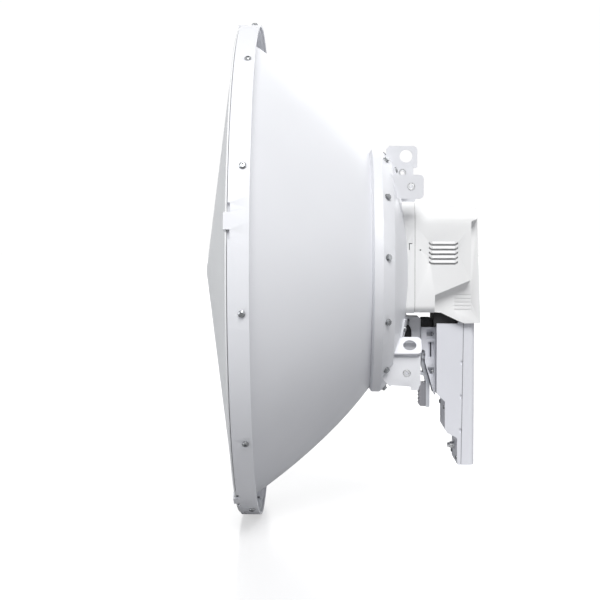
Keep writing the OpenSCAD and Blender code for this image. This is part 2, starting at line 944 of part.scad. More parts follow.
// The seal between the two shells, set in from their outer faces
module radio_gasket() {
    strip = [
        seam_slant[0] + [eps, 0.8], seam_slant[1] + [eps, -0.8],
        seam_slant[1] + [0.85, -0.8], seam_slant[0] + [0.85, 0.8]
    ];
    color(grey) difference() {
        side(strip, -radio_x + 0.7, radio_x - 0.7);
        side(rear_cavity, -radio_x + 2.2, radio_x - 2.2);
    }
}

module radio_board() {
    color([0.1, 0.35, 0.2]) block([-29, 76.2, -250], [29, 77.8, -32]);
}

module shield_cans() {
    color(steel) {
        block([-25, 72, -118], [25, 76.1, -76]);
        block([-25, 72, -160], [-2, 76.1, -124]);
        block([2, 72, -160], [25, 76.1, -124]);
    }
}

module heat_spreader() {
    color(alloy) {
        block([-28, 84, -245], [28, 86.4, -36]);
        for (i = [0:3]) block([-24 + 13 * i, 77.9, -120], [-15 + 13 * i, 84.1, -80]);
    }
}

// A threaded coaxial socket that stands up from the radio's shoulder
module coax_socket() {
    translate([0, 0, -75]) cylinder(r = 3.2, h = 15);
    translate([0, 0, -75.5]) cylinder(r = 5.5, h = 4, $fn = 6);
}

module rf_connectors() {
    color([0.75, 0.7, 0.55]) both() translate([jumper_x, jumper_y, 0]) coax_socket();
}

module timing_connector() {
    color([0.75, 0.7, 0.55]) translate([0, jumper_y, 0]) coax_socket();
}

// Two shielded sockets whose mouths face down through the step of the case
module data_jacks() {
    color(steel) both() difference() {
        block([1.5, 55.8, -211.4], [17.1, 68.6, -195.6]);
        block([3.4, 58, -212], [15.2, 66, -198]);
    }
}

// The rubber boot over the sockets, with a skirt in front of the case
module rf_boot() {
    color(rubber) difference() {
        union() {
            block([-38, 36, -73], [38, 39.3, -50]);
            block([-38, 39.2, -68.8], [38, 66.2, -50]);
        }
        both() translate([jumper_x, jumper_y, -70]) cylinder(r = 5.2, h = 30);
        translate([0, jumper_y, -70]) cylinder(r = 4, h = 14);
    }
}

module radio_plugs() {
    color([0.75, 0.7, 0.55]) both() translate([jumper_x, jumper_y, 0]) plug(-68.6, jumper_low_z);
}

// ---- Carriage and latch ----

module carriage_screw_pattern() {
    both() {
        translate([18.5, radio_face_y, -84]) children();
        translate([19, radio_face_y, -134]) children();
    }
}

// The moulded bracket on the radio's face, which hooks over the pillar's rail
module radio_carriage() {
    outline = [
        [20.2, -74.6], [39.3, -74.6], [39.3, -164], [37.8, -165], [33.5, -150], [28.5, -132],
        [25.4, -122], [25.4, -106], [20.2, -104]
    ];
    color(radio_white) difference() {
        union() {
            side(outline, -carriage_x, carriage_x);
            both() side([[26, -106.5], [21.2, -108], [21.2, -116], [26, -118]], 13.6, 17);
        }
        block([-11 - run, 23, -140], [11 + run, 27.5, -78.4]);
        block([-6 - run, 10, -140], [6 + run, 23.5, -78.4]);
        block([-11 - run, 10, -140], [11 + run, 23.5, lips_low_z]);
        block([-13.6, 10, -118.5], [13.6, 28.6, -105]);
        block([-14, 10, -170], [14, 39.4, -118]);
        side([[31.9, -114.8], [34.1, -114.8], [34.1, -95.4], [31.9, -95.4]], -30, 30);
        both() {
            side([[27.3, -90.3], [37.5, -90.3], [37.5, -77], [27.3, -77]], carriage_x - 4, carriage_x + 1);
            side([[29.3, -116], [37.8, -116], [37.8, -94], [29.3, -94]], carriage_x - 4, carriage_x + 1);
            side([[28.4, -128.2], [37.6, -128.2], [37.6, -140.4], [32.4, -140.4]], carriage_x - 4, carriage_x + 1);
        }
        hole_x(pivot, pin_r + 0.02);
        carriage_screw_pattern() {
            bar_y(1.7, -30, 10);
            bar_y(3.4, -30, -4);
        }
    }
}

module carriage_screws() {
    color(steel) carriage_screw_pattern() translate([0, -4 - eps, 0])
        rotate([180, 0, 0]) button_screw(3, 2, 1.5, 9);
}

module bump_stop() {
    color(rubber) difference() {
        side([[20.5, -74.5], [35.6, -74.5], [35.6, -64.5], [33, -63], [22, -63], [20.5, -66]], -22, 22);
        block([-8, 19, -68], [8, 40, -60]);
    }
}

module latch_pin() {
    color(steel) translate([-16.8, pivot[0], pivot[1]]) rotate([0, 90, 0]) cylinder(r = pin_r, h = 33.6);
}

// Turns a latch piece about the pin
module at_latch() {
    translate([0, pivot[0], pivot[1]]) rotate([latch_angle, 0, 0])
        translate([0, -pivot[0], -pivot[1]]) children();
}

// The long lever with a nose that reaches the pillar and a bar that the thumb presses
module release_latch() {
    lever = [
        [22, -108.8], [21.2, -125.3], [24, -135.6], [17.2, -136], [17.2, -138], [25.2, -141.2],
        [26.4, -145], [27.3, -150], [27.3, -182], [28, -182.6], [31.6, -182.6], [32.4, -182],
        [32.4, -150], [30.4, -143], [26.4, -129], [24.6, -121], [24.6, -108.8]
    ];
    color([0.86, 0.87, 0.9]) at_latch() difference() {
        union() {
            intersection() {
                side(lever, -13, 13);
                union() {
                    block([-6, 0, -190], [6, 60, -100]);
                    block([-13, 20.5, -190], [13, 60, -100]);
                }
            }
            translate([-13, pivot[0], pivot[1]]) rotate([0, 90, 0]) cylinder(r = 3.1, h = 21);
        }
        hole_x(pivot, pin_r + pin_run);
        block([8, 21.4, -116.5], [14, 40, -107]);
    }
}

// The scalloped pad under the thumb
module latch_grip() {
    color(grey) at_latch() difference() {
        side([[27.25, -149.8], [20, -150.4], [17.8, -153], [17.8, -179], [20, -181.6], [27.25, -181.8]], -12, 12);
        for (i = [0:4]) translate([-20, 16.9, -156.5 - 4.8 * i]) rotate([0, 90, 0]) cylinder(r = 1.9, h = 40);
    }
}

// A torsion spring round the pin, with one leg on the lever
module latch_spring() {
    color(steel) at_latch() {
        for (i = [0:3]) translate([9 + 0.9 * i, pivot[0], pivot[1]]) rotate([0, 90, 0])
            rotate_extrude($fn = 48) translate([2.2, 0]) circle(r = 0.5, $fn = 24);
        translate([9, pivot[0] + 2.2, pivot[1]]) rotate([180, 0, 0]) cylinder(r = 0.45, h = 3.5);
    }
}

module reset_button() {
    color(grey) {
        translate([-25, 60, -219.2]) cylinder(r = 1.8, h = 8);
        translate([-25, 60, -212]) cylinder(r = 3, h = 1.5);
    }
}

// The earthing screw and its washer, low on the radio's front
module ground_screw() {
    color([0.35, 0.35, 0.37]) translate([0, 0, -235]) {
        bar_y(2, 62, 72);
        bar_y(4.4, 60.4, 64.5);
        translate([0, 57.2, 0]) about_y() cylinder(r = 3.6, h = 3.4, $fn = 6);
    }
}

module ground_washer() {
    color(white) translate([0, 0, -235]) difference() {
        bar_y(5, 64.6, 66.9);
        bar_y(2.1, 60, 70);
    }
}

module case_screws() {
    color(steel) both() for (at = case_screw_at)
        translate([at[0], at[1] - eps, at[2]])
            rotate([180, 0, 0]) button_screw(3, 2, 1.5, case_screw_end_y - at[1]);
}

reflector();
rim_band();
rim_screws();
radome();
feed_flange();
feed_screws();
feed_tube();
dielectric_cone();
sub_reflector();
feed_transducer();
feed_ports();
hub_ring();
ring_bolts();
hub_dome();
hoist_lug();
upper_lug_right();
upper_lug_left();
lower_lug_right();
lower_lug_left();
lug_plate_right();
lug_plate_left();
lug_nuts();
lug_screws();
mount_pillar();
pillar_screws();
pillar_grommet();
housing_base();
base_screws();
housing_seal();
housing_cover();
duplexer_right();
duplexer_left();
duplexer_bracket();
bracket_screws();
duplexer_plugs();
feed_links();
coax_jumpers();
radio_front_shell();
radio_rear_shell();
radio_gasket();
radio_board();
shield_cans();
heat_spreader();
rf_connectors();
timing_connector();
data_jacks();
rf_boot();
radio_plugs();
radio_carriage();
carriage_screws();
bump_stop();
ground_screw();
ground_washer();
case_screws();
latch_pin();
release_latch();
latch_grip();
latch_spring();
reset_button();
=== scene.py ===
"""Outdoor wireless bridge: the looks of the dish antenna, its housing and its radio."""

import json
import math

import bpy
from mathutils import Matrix, Vector


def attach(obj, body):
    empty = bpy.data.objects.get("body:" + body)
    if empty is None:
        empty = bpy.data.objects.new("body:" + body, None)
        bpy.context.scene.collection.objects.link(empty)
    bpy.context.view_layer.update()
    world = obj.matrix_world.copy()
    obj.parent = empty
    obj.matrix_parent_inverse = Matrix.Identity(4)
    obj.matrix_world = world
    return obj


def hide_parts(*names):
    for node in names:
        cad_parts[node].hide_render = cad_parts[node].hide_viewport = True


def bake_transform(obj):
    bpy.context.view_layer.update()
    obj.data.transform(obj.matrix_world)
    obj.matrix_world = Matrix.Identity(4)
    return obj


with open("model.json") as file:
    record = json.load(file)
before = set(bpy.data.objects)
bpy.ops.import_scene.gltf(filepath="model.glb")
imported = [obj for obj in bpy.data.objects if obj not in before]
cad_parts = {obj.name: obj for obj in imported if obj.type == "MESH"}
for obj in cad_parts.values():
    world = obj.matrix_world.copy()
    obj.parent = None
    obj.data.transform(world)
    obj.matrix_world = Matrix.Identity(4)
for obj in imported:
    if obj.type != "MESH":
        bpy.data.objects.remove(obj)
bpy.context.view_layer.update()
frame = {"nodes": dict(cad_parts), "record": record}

MM = 0.001
TURN = 2 * math.pi
AXIS = (0, 1, 0)

# ---- Camera, floor and light ----

CAMERA_PLACE = (1.86449, -0.10017, 0.03536)
CAMERA_YAW = 0.0223
CAMERA_PITCH = 0.0402
LENS = 82.94
SENSOR = 36.0
FLOOR_Z = -0.3262
FLOOR_SIZE = 80

DISH_MIDDLE = (0, -0.06, 0)
KEY_RISE = math.radians(52)
KEY_SWING = math.radians(12)
COOL_WHITE = (0.95, 0.97, 1.0)
FILL_SIZE = 1.8
# Each soft panel's place in metres, and its watts
FILLS = {
    "front_fill": ((1.2, -2.4, 0.3), 30),
    "rear_fill": ((0.5, 2.8, 0.9), 7),
    "far_side_fill": ((-2.0, 0.8, 0.9), 14),
}
ROOM_SEEN = 1.02
ROOM_AS_LIGHT = 0.15
FLOOR_GLOW = 0.55


def add_camera():
    data = bpy.data.cameras.new("side_camera")
    data.lens = LENS
    data.sensor_width = SENSOR
    data.clip_start = 0.05
    data.clip_end = 120
    camera = bpy.data.objects.new("side_camera", data)
    bpy.context.scene.collection.objects.link(camera)
    ahead = Vector(
        (
            -math.cos(CAMERA_YAW) * math.cos(CAMERA_PITCH),
            -math.sin(CAMERA_YAW) * math.cos(CAMERA_PITCH),
            -math.sin(CAMERA_PITCH),
        )
    )
    camera.location = CAMERA_PLACE
    camera.rotation_mode = "QUATERNION"
    camera.rotation_quaternion = ahead.to_track_quat("-Z", "Y")
    bpy.context.scene.camera = camera


def add_fill(name, place, watts):
    """A soft square panel, aimed at the middle of the dish."""
    data = bpy.data.lights.new(name, "AREA")
    data.shape = "RECTANGLE"
    data.size = FILL_SIZE
    data.size_y = FILL_SIZE
    data.energy = watts
    data.color = COOL_WHITE
    light = bpy.data.objects.new(name, data)
    bpy.context.scene.collection.objects.link(light)
    light.location = place
    light.rotation_mode = "QUATERNION"
    aim = Vector(DISH_MIDDLE) - Vector(place)
    light.rotation_quaternion = aim.to_track_quat("-Z", "Y")


def add_key_light():
    """A broad, distant light from high on one side, which leaves the undersides in soft shade."""
    data = bpy.data.lights.new("key_light", "SUN")
    data.energy = 3.1
    data.angle = math.radians(34)
    data.color = (1.0, 0.995, 0.985)
    light = bpy.data.objects.new("key_light", data)
    bpy.context.scene.collection.objects.link(light)
    source = Vector(
        (
            math.cos(KEY_RISE) * math.cos(KEY_SWING),
            math.cos(KEY_RISE) * math.sin(KEY_SWING),
            math.sin(KEY_RISE),
        )
    )
    light.rotation_mode = "QUATERNION"
    light.rotation_quaternion = (-source).to_track_quat("-Z", "Y")


def studio_light():
    add_key_light()
    for name, (place, watts) in FILLS.items():
        add_fill(name, place, watts)


def white_surround():
    """A white room, bright behind the object and in its reflections, which lights it only softly."""
    world = bpy.data.worlds.new("white_room")
    bpy.context.scene.world = world
    world.use_nodes = True
    nodes = world.node_tree.nodes
    links = world.node_tree.links
    nodes.clear()
    seen = nodes.new("ShaderNodeBackground")
    seen.inputs["Color"].default_value = (1, 1, 1, 1)
    seen.inputs["Strength"].default_value = ROOM_SEEN
    lighting = nodes.new("ShaderNodeBackground")
    lighting.inputs["Color"].default_value = (0.95, 0.965, 1.0, 1)
    lighting.inputs["Strength"].default_value = ROOM_AS_LIGHT
    rays = nodes.new("ShaderNodeLightPath")
    mirrored_too = nodes.new("ShaderNodeMath")
    mirrored_too.operation = "MAXIMUM"
    mix = nodes.new("ShaderNodeMixShader")
    output = nodes.new("ShaderNodeOutputWorld")
    links.new(rays.outputs["Is Camera Ray"], mirrored_too.inputs[0])
    links.new(rays.outputs["Is Glossy Ray"], mirrored_too.inputs[1])
    links.new(mirrored_too.outputs["Value"], mix.inputs["Fac"])
    links.new(lighting.outputs["Background"], mix.inputs[1])
    links.new(seen.outputs["Background"], mix.inputs[2])
    links.new(mix.outputs["Shader"], output.inputs["Surface"])
    bpy.context.scene.view_settings.view_transform = "Standard"


# ---- Materials ----


class Finish:
    """One material: a shader whose grain, tone and gloss come from noise on Object coordinates."""

    def __init__(self, name, colour, roughness, metallic=0.0):
        self.material = bpy.data.materials.new(name)
        self.material.use_nodes = True
        self.nodes = self.material.node_tree.nodes
        self.links = self.material.node_tree.links
        self.shader = self.nodes["Principled BSDF"]
        self.colour = colour
        self.shader.inputs["Base Color"].default_value = (*colour, 1)
        self.shader.inputs["Roughness"].default_value = roughness
        self.shader.inputs["Metallic"].default_value = metallic
        self.material.diffuse_color = (*colour, 1)
        self.place = self.nodes.new("ShaderNodeTexCoord").outputs["Object"]
        self.bump = None

    def stretched(self, scale):
        mapping = self.nodes.new("ShaderNodeMapping")
        mapping.inputs["Scale"].default_value = scale
        self.links.new(self.place, mapping.inputs["Vector"])
        return mapping.outputs["Vector"]

    def noise(self, scale, detail=3.0, roughness=0.5, stretch=None):
        node = self.nodes.new("ShaderNodeTexNoise")
        node.inputs["Scale"].default_value = scale
        node.inputs["Detail"].default_value = detail
        node.inputs["Roughness"].default_value = roughness
        source = self.stretched(stretch) if stretch else self.place
        self.links.new(source, node.inputs["Vector"])
        return node.outputs["Fac"]

    def cells(self, scale):
        node = self.nodes.new("ShaderNodeTexVoronoi")
        node.inputs["Scale"].default_value = scale
        self.links.new(self.place, node.inputs["Vector"])
        return node.outputs["Distance"]

    def spread(self, value, low, high, start=0.3, end=0.7):
        node = self.nodes.new("ShaderNodeMapRange")
        node.inputs["From Min"].default_value = start
        node.inputs["From Max"].default_value = end
        node.inputs["To Min"].default_value = low
        node.inputs["To Max"].default_value = high
        self.links.new(value, node.inputs["Value"])
        return node.outputs["Result"]

    def tone(self, value, darker, start=0.3, end=0.7):
        """The colour drifts between itself and a darker tone with the value."""
        ramp = self.nodes.new("ShaderNodeValToRGB")
        ramp.color_ramp.elements[0].position = start
        ramp.color_ramp.elements[1].position = end
        ramp.color_ramp.elements[0].color = (*darker, 1)
        ramp.color_ramp.elements[1].color = (*self.colour, 1)
        self.links.new(value, ramp.inputs["Fac"])
        self.links.new(ramp.outputs["Color"], self.shader.inputs["Base Color"])
        return self

    def gloss(self, value, low, high):
        self.links.new(self.spread(value, low, high), self.shader.inputs["Roughness"])
        return self

    def grain(self, height, distance, strength):
        """Adds a bump, on top of any bump that is already there."""
        bump = self.nodes.new("ShaderNodeBump")
        bump.inputs["Strength"].default_value = strength
        bump.inputs["Distance"].default_value = distance
        self.links.new(height, bump.inputs["Height"])
        if self.bump:
            self.links.new(self.bump.outputs["Normal"], bump.inputs["Normal"])
        self.links.new(bump.outputs["Normal"], self.shader.inputs["Normal"])
        self.bump = bump
        return self


def darker(colour, share):
    return tuple(c * share for c in colour)


def powder_coat(name, colour):
    """Sprayed and baked powder: a fine orange peel, with a slow drift in gloss."""
    f = Finish(name, colour, 0.42)
    f.tone(f.noise(9, 2), darker(colour, 0.975))
    f.gloss(f.noise(26, 3), 0.36, 0.48)
    f.grain(f.noise(420, 2, 0.4), 0.0002, 0.1)
    f.grain(f.noise(2600, 2), 0.00004, 0.12)
    f.shader.inputs["Specular IOR Level"].default_value = 0.45
    return f.material


def moulded_plastic(name, colour, roughness, grain_size, strength):
    """Injection-moulded plastic with a spark-eroded grain and faint flow marks."""
    f = Finish(name, colour, roughness)
    f.tone(f.noise(14, 3, 0.5, (1, 1, 0.4)), darker(colour, 0.97))
    f.gloss(f.noise(60, 3), roughness - 0.06, roughness + 0.06)
    f.grain(f.cells(1 / grain_size), 0.00006, strength)
    f.grain(f.noise(0.4 / grain_size, 3), 0.00006, strength * 0.7)
    f.shader.inputs["Specular IOR Level"].default_value = 0.4
    return f.material


def radome_sheet(name, colour):
    """Thermoformed sheet: almost matt, with a very shallow waviness and a fine grain."""
    f = Finish(name, colour, 0.55)
    f.tone(f.noise(6, 2), darker(colour, 0.98))
    f.gloss(f.noise(18, 2), 0.5, 0.6)
    f.grain(f.noise(14, 2), 0.0006, 0.05)
    f.grain(f.cells(1500), 0.00004, 0.15)
    f.shader.inputs["Specular IOR Level"].default_value = 0.35
    return f.material


def metal(name, colour, roughness, lines, strength, stretch=(1, 14, 1)):
    """Bare metal with brushed or turned lines and a little tarnish."""
    f = Finish(name, colour, roughness, 1.0)
    f.tone(f.noise(80, 4), darker(colour, 0.86))
    f.gloss(f.noise(260, 3, 0.6, stretch), roughness - 0.07, roughness + 0.1)
    f.grain(f.noise(lines, 4, 0.6, stretch), 0.00003, strength)
    return f.material


def rubber_skin(name, colour):
    f = Finish(name, colour, 0.72)
    f.tone(f.noise(120, 4), darker(colour, 0.7))
    f.gloss(f.noise(300, 3), 0.64, 0.8)
    f.grain(f.noise(1900, 3), 0.00006, 0.3)
    return f.material


def solder_mask(name, colour):
    """A lacquered circuit board: tracks show as a faint relief under the green."""
    f = Finish(name, colour, 0.35)
    tracks = f.nodes.new("ShaderNodeTexBrick")
    tracks.inputs["Scale"].default_value = 160
    f.links.new(f.stretched((1, 1, 0.3)), tracks.inputs["Vector"])
    f.tone(tracks.outputs["Fac"], darker(colour, 0.6), 0.0, 1.0)
    f.grain(tracks.outputs["Fac"], 0.00005, 0.4)
    return f.material


FINISHES = {
    "dish_paint": powder_coat("dish_powder_coat", (0.78, 0.79, 0.825)),
    "radome_plastic": radome_sheet("radome_sheet", (0.76, 0.77, 0.775)),
    "cover_plastic": moulded_plastic("housing_plastic", (0.85, 0.855, 0.86), 0.5, 0.0011, 0.2),
    "radio_plastic": moulded_plastic("radio_plastic", (0.74, 0.75, 0.80), 0.48, 0.0009, 0.2),
    "latch_plastic": moulded_plastic("latch_plastic", (0.66, 0.68, 0.72), 0.45, 0.0008, 0.18),
    "grey_plastic": moulded_plastic("grip_plastic", (0.30, 0.30, 0.325), 0.5, 0.0008, 0.25),
    "alloy": metal("turned_alloy", (0.78, 0.79, 0.80), 0.34, 900, 0.25),
    "steel": metal("stainless_steel", (0.34, 0.35, 0.36), 0.26, 1500, 0.2),
    "dark_steel": metal("oiled_steel", (0.24, 0.24, 0.25), 0.4, 1500, 0.3),
    "washer_zinc": metal("zinc_plate", (0.86, 0.87, 0.88), 0.3, 1600, 0.15),
    "brass": metal("plated_brass", (0.66, 0.56, 0.34), 0.28, 1400, 0.2),
    "copper_tube": metal("copper_tube", (0.72, 0.45, 0.32), 0.26, 1200, 0.2),
    "dielectric": moulded_plastic("feed_plastic", (0.80, 0.79, 0.74), 0.4, 0.0012, 0.12),
    "rubber": rubber_skin("black_rubber", (0.022, 0.022, 0.024)),
    "pale_silicone": rubber_skin("pale_silicone", (0.55, 0.55, 0.545)),
    "circuit_board": solder_mask("solder_mask", (0.02, 0.16, 0.06)),
}


def floor_finish():
    """Pale satin paint that looks nearly white, with only soft shadows and a faint reflection."""
    f = Finish("pale_floor_paint", (0.4, 0.4, 0.405), 0.22)
    f.tone(f.noise(0.8, 2), (0.39, 0.39, 0.395))
    f.grain(f.noise(300, 2), 0.0001, 0.02)
    f.shader.inputs["Specular IOR Level"].default_value = 0.3
    rays = f.nodes.new("ShaderNodeLightPath")
    lift = f.nodes.new("ShaderNodeMath")
    lift.operation = "MULTIPLY"
    lift.inputs[1].default_value = FLOOR_GLOW
    f.links.new(rays.outputs["Is Camera Ray"], lift.inputs[0])
    f.shader.inputs["Emission Color"].default_value = (1, 1, 1, 1)
    f.links.new(lift.outputs["Value"], f.shader.inputs["Emission Strength"])
    return f.material


def add_floor():
    bpy.ops.mesh.primitive_plane_add(size=FLOOR_SIZE, location=(0, 0, FLOOR_Z))
    floor = bpy.context.active_object
    floor.name = "pale_floor"
    floor.data.materials.append(floor_finish())


# ---- Working on pieces ----

# How close two vertices are when they are joined, in metres
CAD_WELD = 0.000002
MADE_WELD = 0.000004
FLAT = math.radians(0.4)


def only(piece):
    """Selects one object and nothing else."""
    if bpy.context.object and bpy.context.object.mode != "OBJECT":
        bpy.ops.object.mode_set(mode="OBJECT")
    bpy.ops.object.select_all(action="DESELECT")
    piece.select_set(True)
    bpy.context.view_layer.objects.active = piece


def edit_whole(piece):
    """Goes into edit mode with the whole of one piece selected."""
    only(piece)
    bpy.ops.object.mode_set(mode="EDIT")
    bpy.ops.mesh.select_all(action="SELECT")


def leave_edit():
    bpy.ops.object.mode_set(mode="OBJECT")


def settle(piece):
    """Puts the piece's place into its mesh."""
    only(piece)
    bpy.ops.object.transform_apply(location=True, rotation=True, scale=True)


def apply_all(piece):
    only(piece)
    for modifier in list(piece.modifiers):
        bpy.ops.object.modifier_apply(modifier=modifier.name)


def soft_edges(piece, width, segments=2, angle=38):
    """Shades the piece smooth between its edges and rounds the edges."""
    only(piece)
    bpy.ops.object.shade_smooth_by_angle(angle=math.radians(angle))
    if width:
        bevel = piece.modifiers.new("edge_round", "BEVEL")
        bevel.width = width
        bevel.segments = segments
        bevel.limit_method = "ANGLE"
        bevel.angle_limit = math.radians(angle)
        bevel.use_clamp_overlap = True
        bevel.harden_normals = True
        bevel.miter_outer = "MITER_ARC"
        apply_all(piece)


def finish_as(piece, slot, body, *nodes):
    """Gives the piece the material of its slot and puts it in its body; the CAD nodes that it stands
    for are hidden.
    """
    piece.data.materials.clear()
    piece.data.materials.append(FINISHES[slot])
    if nodes:
        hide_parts(*nodes)
    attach(piece, body)
    return piece


def merged_copy(node, name):
    """A copy of a CAD node as one joined mesh with its flat faces whole."""
    mesh = frame["nodes"][node].data.copy()
    mesh.name = name
    piece = bpy.data.objects.new(name, mesh)
    bpy.context.scene.collection.objects.link(piece)
    edit_whole(piece)
    bpy.ops.mesh.remove_doubles(threshold=CAD_WELD)
    bpy.ops.mesh.dissolve_limited(angle_limit=FLAT)
    leave_edit()
    return piece


SLOT_OF = {row["node"]: row["material_slot"] for row in frame["record"]["subparts"]}
BODY_OF = {
    node: body
    for body, members in frame["record"]["behaviour"]["bodies"].items()
    for node in members
}

# Nodes whose finish is paler than that of the rest of their material slot
PALER = {"housing_seal": "pale_silicone", "lug_nuts": "washer_zinc", "ground_screw": "washer_zinc"}


def dressed(node, width, segments=2, angle=38):
    """Stands for a CAD node with the same shape, its edges rounded."""
    piece = merged_copy(node, node + "_dressed")
    soft_edges(piece, width, segments, angle)
    finish_as(piece, SLOT_OF[node], BODY_OF[node], node)
    if node in PALER:
        piece.data.materials[0] = FINISHES[PALER[node]]
    return piece


def profile_loop(name, points, closed=True):
    """A ring of vertices laid on a profile of radius and y, in the plane above the axis."""
    bpy.ops.mesh.primitive_circle_add(vertices=len(points), radius=0.1, fill_type="NOTHING")
    piece = bpy.context.active_object
    piece.name = name
    for vertex, (radius, y) in zip(piece.data.vertices, points):
        vertex.co = (0, y * MM, radius * MM)
    if not closed:
        only(piece)
        bpy.ops.object.mode_set(mode="EDIT")
        bpy.ops.mesh.select_all(action="DESELECT")
        leave_edit()
        ends = {0, len(points) - 1}
        for edge in piece.data.edges:
            edge.select = set(edge.vertices) == ends
        bpy.ops.object.mode_set(mode="EDIT")
        bpy.ops.mesh.select_mode(type="EDGE")
        bpy.ops.mesh.delete(type="EDGE_FACE")
        bpy.ops.mesh.select_mode(type="VERT")
        leave_edit()
    return piece


def spun(name, points, steps=192, closed=True, angle=30):
    """Turns a profile round the dish axis into a closed shell."""
    piece = profile_loop(name, points, closed)
    edit_whole(piece)
    bpy.ops.mesh.spin(steps=steps, angle=TURN, center=(0, 0, 0), axis=AXIS)
    bpy.ops.mesh.select_all(action="SELECT")
    bpy.ops.mesh.remove_doubles(threshold=MADE_WELD)
    bpy.ops.mesh.normals_make_consistent(inside=False)
    leave_edit()
    only(piece)
    bpy.ops.object.shade_smooth_by_angle(angle=math.radians(angle))
    return piece


def between(a, b, share):
    return a + (b - a) * share


# ---- Dish ----

FOCAL = 107.3
VERTEX_Y = 8.5
SKIN = 1.6
LAND_R = 80
FEED_HOLE_R = 30
LIP_R = 310
FOLD_R = 320.5
FOLD_END_Y = -194.5
RIM_R = 325
BOWL_RINGS = 84
TURN_STEPS = 240

RADOME_WALL = 2.2
RADOME_EDGE_R = RIM_R - 2.8
KNEE_R = 110
KNEE_RISE = 31.8
TIP_R = 12
TIP_DROP = 1.4
TIP_RISE = 50.5


def back_y(r):
    return VERTEX_Y - r * r / (4 * FOCAL)


def front_y(r):
    return back_y(r) - SKIN * math.sqrt(1 + (r / (2 * FOCAL)) ** 2)


def corner(points, index, radius, count=4):
    """Rounds one corner of a profile by cutting back along both sides and bowing between."""
    p, a, b = (Vector(points[i % len(points)]) for i in (index, index - 1, index + 1))
    start = p + (a - p).normalized() * radius
    end = p + (b - p).normalized() * radius
    rounded = []
    for i in range(count + 1):
        t = i / count
        rounded.append(tuple(start * (1 - t) ** 2 + p * (2 * t * (1 - t)) + end * t**2))
    return rounded


def rounded_profile(points, radii):
    """A profile whose corners named in radii, by index, are rounded."""
    made = []
    for i, point in enumerate(points):
        made += corner(points, i, radii[i]) if i in radii else [tuple(point)]
    return made


def make_reflector():
    """The spun aluminium bowl with its rolled lip and its drawn land."""
    radii = [between(LAND_R, LIP_R, i / BOWL_RINGS) for i in range(BOWL_RINGS + 1)]
    back = [(r, back_y(r)) for r in radii]
    lip = [
        (FOLD_R - SKIN, back_y(LIP_R)), (FOLD_R - SKIN, FOLD_END_Y), (FOLD_R, FOLD_END_Y),
        (FOLD_R, back_y(LIP_R) - SKIN), (LIP_R - 0.7, back_y(LIP_R) - SKIN),
    ]
    front = [(r, front_y(r)) for r in reversed(radii[:-1])]
    land = [(FEED_HOLE_R, back_y(LAND_R) - SKIN), (FEED_HOLE_R, back_y(LAND_R))]
    outline = back + lip + front + land
    lip_at = len(back)
    rounds = {lip_at: 0.9, lip_at + 1: 0.35, lip_at + 2: 0.35, lip_at + 3: 1.8}
    bowl = spun("reflector_bowl", rounded_profile(outline, rounds), TURN_STEPS)
    return finish_as(bowl, "dish_paint", "dish", "reflector")


def make_radome():
    """The shallow cone, drawn down over its flat edge and softly pointed."""
    edge_y = back_y(LIP_R) - SKIN - 0.1
    knee_y = edge_y - RADOME_WALL - KNEE_RISE
    tip_y = edge_y - TIP_RISE
    outer = [
        (RADOME_EDGE_R, edge_y), (RADOME_EDGE_R, edge_y - 1.4), (RADOME_EDGE_R - 0.8, edge_y - 2.2),
        (RADOME_EDGE_R - 6, edge_y - RADOME_WALL), (KNEE_R, knee_y), (TIP_R, tip_y + TIP_DROP),
    ]
    outer = rounded_profile(outer, {1: 0.5, 2: 0.5, 3: 3.0, 4: 40.0})[:-1]
    shares = [1 - i / 8 for i in range(9)]
    tip = [(TIP_R * share, tip_y + TIP_DROP * share**2) for share in shares]
    inner = [
        (0, tip_y + RADOME_WALL), (TIP_R, tip_y + TIP_DROP + RADOME_WALL),
        (KNEE_R, knee_y + RADOME_WALL), (RADOME_EDGE_R - 13, edge_y),
    ]
    shell = spun("radome_cone", inner + outer + tip, TURN_STEPS, closed=False)
    return finish_as(shell, "radome_plastic", "dish", "radome")


# ---- Housing ----

HOUSE_X = 60
LOUVRES = 5
LOUVRE_TOP_Z = 35
LOUVRE_PITCH = 6.15
BLADE_Y = (28.6, 64.2)
BLADE_Z = (-2.2, 2.6)
BLADE_X = HOUSE_X - 3.9
BLADE_THICK = 0.9
BLADE_SLANT = 1.2
HOOD_Y = (31.4, 61.4)
HOOD_Z = (1.0, 4.3)
HOOD_X = HOUSE_X + 0.25
HOOD_THICK = 1.5
HOOD_TAPER = 1.2

MARK_THICK = 0.3
DOT_PLACE = (16.5, 28)
DOT_R = 0.95
DOT_SIDES = 32


def louvre_blade(z):
    """The slanted blade behind one slot, which hides the inside of the housing."""
    y0, y1 = BLADE_Y
    low, high = z + BLADE_Z[0], z + BLADE_Z[1]
    bpy.ops.mesh.primitive_cube_add(
        size=1,
        location=(BLADE_X * MM, (y0 + y1) / 2 * MM, (low + high) / 2 * MM),
        scale=(BLADE_THICK * MM, (y1 - y0) * MM, (high - low) * MM),
    )
    blade = bpy.context.active_object
    settle(blade)
    for vertex in blade.data.vertices:
        if vertex.co.z < z * MM:
            vertex.co.x -= BLADE_SLANT * MM
    soft_edges(blade, 0.0002)
    return blade


